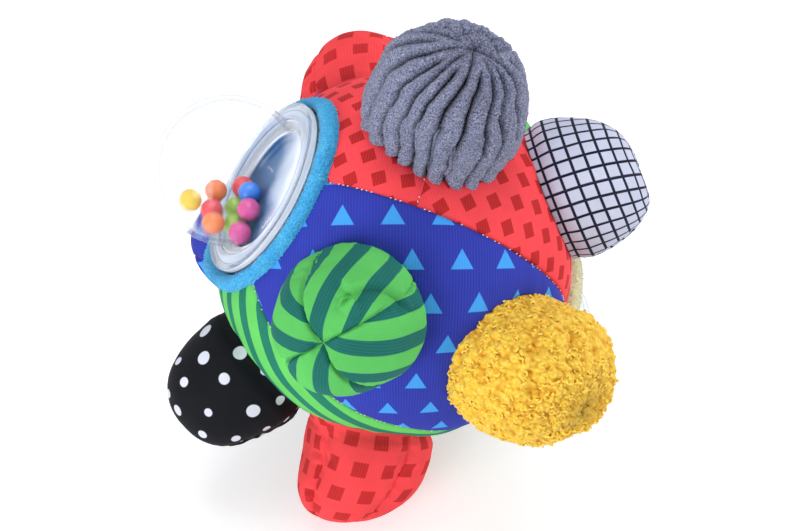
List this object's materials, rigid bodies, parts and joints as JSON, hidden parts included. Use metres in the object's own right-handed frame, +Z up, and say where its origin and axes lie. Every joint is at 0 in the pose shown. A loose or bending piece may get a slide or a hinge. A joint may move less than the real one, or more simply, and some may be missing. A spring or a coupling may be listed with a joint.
{
  "type": "sensory ball",
  "caption": "Stuffed cloth ball with soft knobs of differing textures, clear bead-filled rattle domes and an inner chime, standing on its knobs.",
  "frame": {"origin": "point on the floor straight below the centre of the ball, where it stands on two knobs and one dome", "axes": "+Z up from the floor, -Y towards the side with the striped knob, left dome towards -X and up"},
  "size_m": [0.1647, 0.1658, 0.1642],
  "materials": {
    "blue_print": "fine knit, blue with light-blue triangles",
    "red_print": "fine knit, red with dark-red squares",
    "green_print": "fine knit, green with dark-green stripes",
    "striped_print": "fine knit, light and dark green stripes",
    "ribbed_plush": "grey-blue ribbed plush",
    "curly_fleece": "yellow curly fleece",
    "grid_print": "fine knit, white with a thin black grid",
    "dotted_print": "fine knit, black with white dots",
    "sky_plush": "short light-blue plush",
    "yellow_plush": "short yellow plush",
    "fibre_filling": "loose polyester fibre",
    "clear_plastic": "clear blown plastic",
    "white_plastic": "smooth white plastic",
    "chime_steel": "plain steel rod",
    "bead_yellow": "translucent moulded bead",
    "bead_orange": "translucent moulded bead",
    "bead_blue": "translucent moulded bead",
    "bead_pink": "translucent moulded bead",
    "bead_red": "translucent moulded bead",
    "bead_green": "translucent moulded bead"
  },
  "bodies": {
    "ball": {"blue_front_panel": "blue_print", "red_front_panel": "red_print", "blue_back_panel": "blue_print", "red_back_panel": "red_print", "green_panel": "green_print", "front_knob_cover": "striped_print", "ribbed_knob_cover": "ribbed_plush", "fleece_knob_cover": "curly_fleece", "grid_knob_cover": "grid_print", "dotted_knob_cover": "dotted_print", "stand_knob_cover": "red_print", "crown_knob_cover": "red_print", "green_back_knob_cover": "striped_print", "plush_back_knob_cover": "sky_plush", "blue_back_knob_cover": "blue_print", "front_knob_filling": "fibre_filling", "ribbed_knob_filling": "fibre_filling", "fleece_knob_filling": "fibre_filling", "grid_knob_filling": "fibre_filling", "dotted_knob_filling": "fibre_filling", "stand_knob_filling": "fibre_filling", "crown_knob_filling": "fibre_filling", "green_back_knob_filling": "fibre_filling", "plush_back_knob_filling": "fibre_filling", "blue_back_knob_filling": "fibre_filling", "body_filling": "fibre_filling", "left_bubble": "clear_plastic", "left_tray": "white_plastic", "left_collar": "sky_plush", "back_bubble": "clear_plastic", "back_tray": "white_plastic", "back_collar": "yellow_plush", "chime_case_lower": "white_plastic", "chime_case_upper": "white_plastic", "chime_hub": "white_plastic", "chime_rods": "chime_steel", "striker_pin": "chime_steel"},
    "left_corner_beads": {"left_bead_1": "bead_red", "left_bead_2": "bead_green", "left_bead_3": "bead_green", "left_bead_4": "bead_pink"},
    "left_inner_beads": {"left_bead_5": "bead_blue", "left_bead_6": "bead_pink"},
    "left_upper_beads": {"left_bead_7": "bead_orange", "left_bead_8": "bead_red", "left_bead_9": "bead_orange"},
    "left_wall_bead": {"left_bead_10": "bead_yellow"},
    "back_middle_beads": {"back_bead_1": "bead_orange", "back_bead_2": "bead_yellow", "back_bead_3": "bead_green"},
    "back_outer_beads": {"back_bead_4": "bead_blue", "back_bead_5": "bead_pink", "back_bead_6": "bead_red"},
    "back_tip_bead": {"back_bead_7": "bead_yellow"},
    "back_inner_bead": {"back_bead_8": "bead_orange"},
    "striker": {"chime_striker": "bead_orange"}
  },
  "joints": [
    {"name": "left_corner_roll", "type": "hinge", "parent": "ball", "child": "left_corner_beads", "pos_m": [0, 0, 0.07351], "axis": [-0.7268, 0.0674, 0.6835], "continuous": true},
    {"name": "left_inner_roll", "type": "hinge", "parent": "ball", "child": "left_inner_beads", "pos_m": [0, 0, 0.07351], "axis": [-0.7268, 0.0674, 0.6835], "continuous": true},
    {"name": "left_upper_roll", "type": "hinge", "parent": "ball", "child": "left_upper_beads", "pos_m": [0, 0, 0.07351], "axis": [-0.7268, 0.0674, 0.6835], "continuous": true},
    {"name": "left_wall_roll", "type": "hinge", "parent": "ball", "child": "left_wall_bead", "pos_m": [0, 0, 0.07351], "axis": [-0.7268, 0.0674, 0.6835], "continuous": true},
    {"name": "back_middle_roll", "type": "hinge", "parent": "ball", "child": "back_middle_beads", "pos_m": [0, 0, 0.07351], "axis": [0.6306, 0.0896, -0.7709], "continuous": true},
    {"name": "back_outer_roll", "type": "hinge", "parent": "ball", "child": "back_outer_beads", "pos_m": [0, 0, 0.07351], "axis": [0.6306, 0.0896, -0.7709], "continuous": true},
    {"name": "back_tip_roll", "type": "hinge", "parent": "ball", "child": "back_tip_bead", "pos_m": [0, 0, 0.07351], "axis": [0.6306, 0.0896, -0.7709], "continuous": true},
    {"name": "back_inner_roll", "type": "hinge", "parent": "ball", "child": "back_inner_bead", "pos_m": [0, 0, 0.07351], "axis": [0.6306, 0.0896, -0.7709], "continuous": true},
    {"name": "striker_swing", "type": "hinge", "parent": "ball", "child": "striker", "pos_m": [0, 0, 0.07951], "axis": [1, 0, 0], "range_deg": [-36, 36]}
  ]
}
